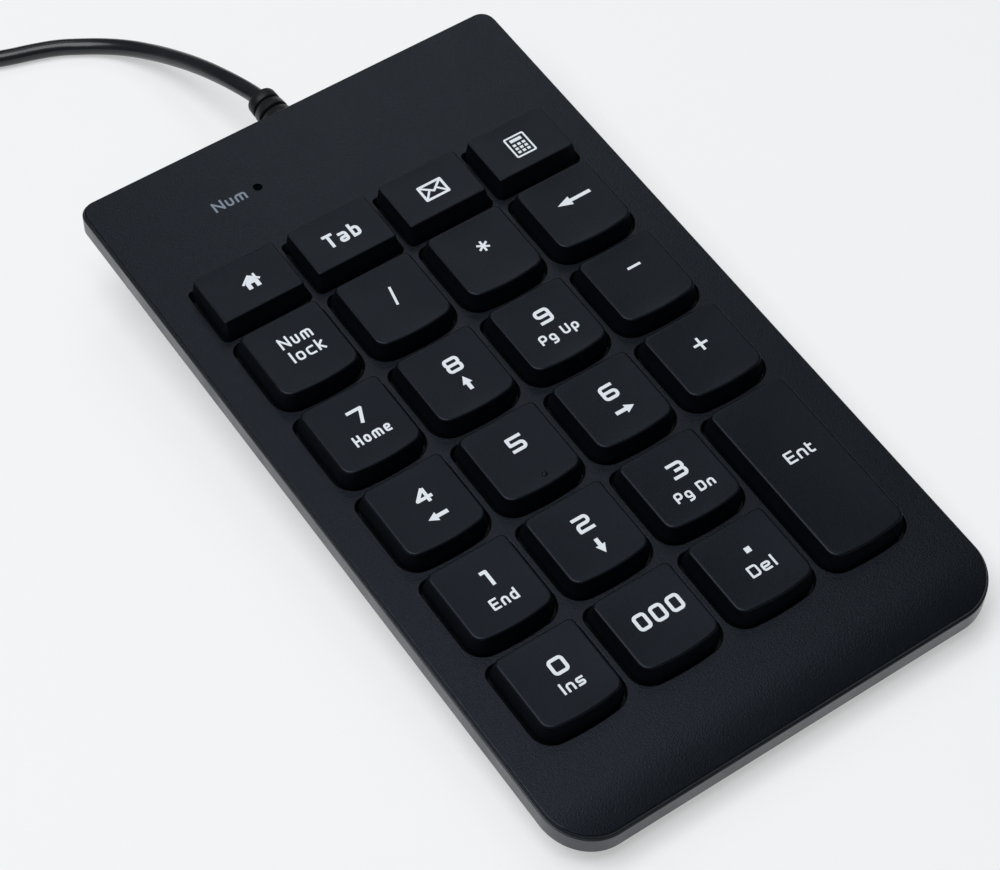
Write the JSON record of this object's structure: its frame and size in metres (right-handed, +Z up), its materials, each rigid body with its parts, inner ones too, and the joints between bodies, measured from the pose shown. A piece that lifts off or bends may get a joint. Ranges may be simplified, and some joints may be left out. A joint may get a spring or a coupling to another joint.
{
  "type": "numeric keypad",
  "caption": "Slim wedge-shaped numeric keypad with sprung low-profile keys over a silicone dome sheet, and a coiled USB lead.",
  "frame": {"origin": "centre of the case's footprint, on the table that its feet stand on", "axes": "+Z up; +Y to the rear, where the cord leaves; +X to the user's right; the deck is tilted 4 degrees about X"},
  "size_m": [0.1507, 0.2317, 0.0216],
  "materials": {
    "deck_plastic": "fine matt grain",
    "shell_plastic": "semi-gloss",
    "key_plastic": "fine matt grain",
    "legend_print": "printed ink",
    "deck_print": "printed ink",
    "frame_plastic": "moulded",
    "silicone": "soft, translucent",
    "film": "printed polyester film",
    "spacer_film": "clear polyester film",
    "plate_steel": "zinc plated sheet",
    "wire_steel": "spring wire",
    "board_laminate": "solder mask",
    "chip_plastic": "moulded epoxy",
    "component_body": "ceramic",
    "lamp_lens": "clear epoxy",
    "socket_nylon": "nylon",
    "lead_insulation": "PVC",
    "cord_pvc": "satin PVC jacket",
    "relief_pvc": "moulded PVC",
    "screw_steel": "zinc plated",
    "foot_rubber": "soft rubber",
    "clamp_strip": "soft rubber",
    "label_film": "blank sticker",
    "tie_plastic": "flat tie",
    "plug_pvc": "moulded PVC",
    "plug_steel": "nickel plated",
    "plug_nylon": "nylon",
    "contact_gold": "gold plated"
  },
  "bodies": {
    "case": {"top_case": "deck_plastic", "bottom_case": "shell_plastic", "key_frame": "frame_plastic", "dome_sheet": "silicone", "membrane_top": "film", "membrane_spacer": "spacer_film", "membrane_bottom": "film", "backing_plate": "plate_steel", "controller_board": "board_laminate", "controller_chip": "chip_plastic", "board_components": "component_body", "num_lock_lamp": "lamp_lens", "tail_clamp": "frame_plastic", "clamp_rubber": "clamp_strip", "cable_socket": "socket_nylon", "cable_leads": "lead_insulation", "cord_inner_end": "cord_pvc", "strain_relief": "relief_pvc", "case_screws": "screw_steel", "frame_screws": "screw_steel", "clamp_screws": "screw_steel", "rubber_feet": "foot_rubber", "rating_label": "label_film", "cord_lead": "cord_pvc", "cord_coil": "cord_pvc", "cord_tail": "cord_pvc", "cable_tie": "tie_plastic", "plug_overmould": "plug_pvc", "plug_shell": "plug_steel", "plug_insulator": "plug_nylon", "plug_contacts": "contact_gold"},
    "cap_home": {"key_home": "key_plastic"},
    "cap_tab": {"key_tab": "key_plastic"},
    "cap_mail": {"key_mail": "key_plastic"},
    "cap_calculator": {"key_calculator": "key_plastic"},
    "cap_num_lock": {"key_num_lock": "key_plastic"},
    "cap_divide": {"key_divide": "key_plastic"},
    "cap_multiply": {"key_multiply": "key_plastic"},
    "cap_backspace": {"key_backspace": "key_plastic"},
    "cap_7": {"key_7": "key_plastic"},
    "cap_8": {"key_8": "key_plastic"},
    "cap_9": {"key_9": "key_plastic"},
    "cap_minus": {"key_minus": "key_plastic"},
    "cap_4": {"key_4": "key_plastic"},
    "cap_5": {"key_5": "key_plastic"},
    "cap_6": {"key_6": "key_plastic"},
    "cap_plus": {"key_plus": "key_plastic"},
    "cap_1": {"key_1": "key_plastic"},
    "cap_2": {"key_2": "key_plastic"},
    "cap_3": {"key_3": "key_plastic"},
    "cap_enter": {"key_enter": "key_plastic"},
    "cap_0": {"key_0": "key_plastic"},
    "cap_triple_zero": {"key_triple_zero": "key_plastic"},
    "cap_decimal": {"key_decimal": "key_plastic"},
    "stabiliser": {"enter_stabiliser": "wire_steel"}
  },
  "joints": [
    {"name": "press_home", "type": "slide", "parent": "case", "child": "cap_home", "axis": [0, 0.0698, -0.9976], "range_m": [0, 0.0022], "stiffness_N_per_m": 150, "springref_m": -0.001, "deforming": ["dome_sheet"]},
    {"name": "press_tab", "type": "slide", "parent": "case", "child": "cap_tab", "axis": [0, 0.0698, -0.9976], "range_m": [0, 0.0022], "stiffness_N_per_m": 150, "springref_m": -0.001, "deforming": ["dome_sheet"]},
    {"name": "press_mail", "type": "slide", "parent": "case", "child": "cap_mail", "axis": [0, 0.0698, -0.9976], "range_m": [0, 0.0022], "stiffness_N_per_m": 150, "springref_m": -0.001, "deforming": ["dome_sheet"]},
    {"name": "press_calculator", "type": "slide", "parent": "case", "child": "cap_calculator", "axis": [0, 0.0698, -0.9976], "range_m": [0, 0.0022], "stiffness_N_per_m": 150, "springref_m": -0.001, "deforming": ["dome_sheet"]},
    {"name": "press_num_lock", "type": "slide", "parent": "case", "child": "cap_num_lock", "axis": [0, 0.0698, -0.9976], "range_m": [0, 0.0022], "stiffness_N_per_m": 150, "springref_m": -0.001, "deforming": ["dome_sheet"]},
    {"name": "press_divide", "type": "slide", "parent": "case", "child": "cap_divide", "axis": [0, 0.0698, -0.9976], "range_m": [0, 0.0022], "stiffness_N_per_m": 150, "springref_m": -0.001, "deforming": ["dome_sheet"]},
    {"name": "press_multiply", "type": "slide", "parent": "case", "child": "cap_multiply", "axis": [0, 0.0698, -0.9976], "range_m": [0, 0.0022], "stiffness_N_per_m": 150, "springref_m": -0.001, "deforming": ["dome_sheet"]},
    {"name": "press_backspace", "type": "slide", "parent": "case", "child": "cap_backspace", "axis": [0, 0.0698, -0.9976], "range_m": [0, 0.0022], "stiffness_N_per_m": 150, "springref_m": -0.001, "deforming": ["dome_sheet"]},
    {"name": "press_7", "type": "slide", "parent": "case", "child": "cap_7", "axis": [0, 0.0698, -0.9976], "range_m": [0, 0.0022], "stiffness_N_per_m": 150, "springref_m": -0.001, "deforming": ["dome_sheet"]},
    {"name": "press_8", "type": "slide", "parent": "case", "child": "cap_8", "axis": [0, 0.0698, -0.9976], "range_m": [0, 0.0022], "stiffness_N_per_m": 150, "springref_m": -0.001, "deforming": ["dome_sheet"]},
    {"name": "press_9", "type": "slide", "parent": "case", "child": "cap_9", "axis": [0, 0.0698, -0.9976], "range_m": [0, 0.0022], "stiffness_N_per_m": 150, "springref_m": -0.001, "deforming": ["dome_sheet"]},
    {"name": "press_minus", "type": "slide", "parent": "case", "child": "cap_minus", "axis": [0, 0.0698, -0.9976], "range_m": [0, 0.0022], "stiffness_N_per_m": 150, "springref_m": -0.001, "deforming": ["dome_sheet"]},
    {"name": "press_4", "type": "slide", "parent": "case", "child": "cap_4", "axis": [0, 0.0698, -0.9976], "range_m": [0, 0.0022], "stiffness_N_per_m": 150, "springref_m": -0.001, "deforming": ["dome_sheet"]},
    {"name": "press_5", "type": "slide", "parent": "case", "child": "cap_5", "axis": [0, 0.0698, -0.9976], "range_m": [0, 0.0022], "stiffness_N_per_m": 150, "springref_m": -0.001, "deforming": ["dome_sheet"]},
    {"name": "press_6", "type": "slide", "parent": "case", "child": "cap_6", "axis": [0, 0.0698, -0.9976], "range_m": [0, 0.0022], "stiffness_N_per_m": 150, "springref_m": -0.001, "deforming": ["dome_sheet"]},
    {"name": "press_plus", "type": "slide", "parent": "case", "child": "cap_plus", "axis": [0, 0.0698, -0.9976], "range_m": [0, 0.0022], "stiffness_N_per_m": 150, "springref_m": -0.001, "deforming": ["dome_sheet"]},
    {"name": "press_1", "type": "slide", "parent": "case", "child": "cap_1", "axis": [0, 0.0698, -0.9976], "range_m": [0, 0.0022], "stiffness_N_per_m": 150, "springref_m": -0.001, "deforming": ["dome_sheet"]},
    {"name": "press_2", "type": "slide", "parent": "case", "child": "cap_2", "axis": [0, 0.0698, -0.9976], "range_m": [0, 0.0022], "stiffness_N_per_m": 150, "springref_m": -0.001, "deforming": ["dome_sheet"]},
    {"name": "press_3", "type": "slide", "parent": "case", "child": "cap_3", "axis": [0, 0.0698, -0.9976], "range_m": [0, 0.0022], "stiffness_N_per_m": 150, "springref_m": -0.001, "deforming": ["dome_sheet"]},
    {"name": "press_enter", "type": "slide", "parent": "case", "child": "cap_enter", "axis": [0, 0.0698, -0.9976], "range_m": [0, 0.0022], "stiffness_N_per_m": 200, "springref_m": -0.001, "deforming": ["dome_sheet"]},
    {"name": "press_0", "type": "slide", "parent": "case", "child": "cap_0", "axis": [0, 0.0698, -0.9976], "range_m": [0, 0.0022], "stiffness_N_per_m": 150, "springref_m": -0.001, "deforming": ["dome_sheet"]},
    {"name": "press_triple_zero", "type": "slide", "parent": "case", "child": "cap_triple_zero", "axis": [0, 0.0698, -0.9976], "range_m": [0, 0.0022], "stiffness_N_per_m": 150, "springref_m": -0.001, "deforming": ["dome_sheet"]},
    {"name": "press_decimal", "type": "slide", "parent": "case", "child": "cap_decimal", "axis": [0, 0.0698, -0.9976], "range_m": [0, 0.0022], "stiffness_N_per_m": 150, "springref_m": -0.001, "deforming": ["dome_sheet"]},
    {"name": "stabiliser_turn", "type": "hinge", "parent": "case", "child": "stabiliser", "pos_m": [0.0294, -0.04073, 0.01047], "axis": [0, -0.9976, -0.0698], "range_deg": [0, 20]}
  ],
  "couplings": [
    {"joint": "stabiliser_turn", "follows": "press_enter", "rad_per_m": 154.59}
  ]
}
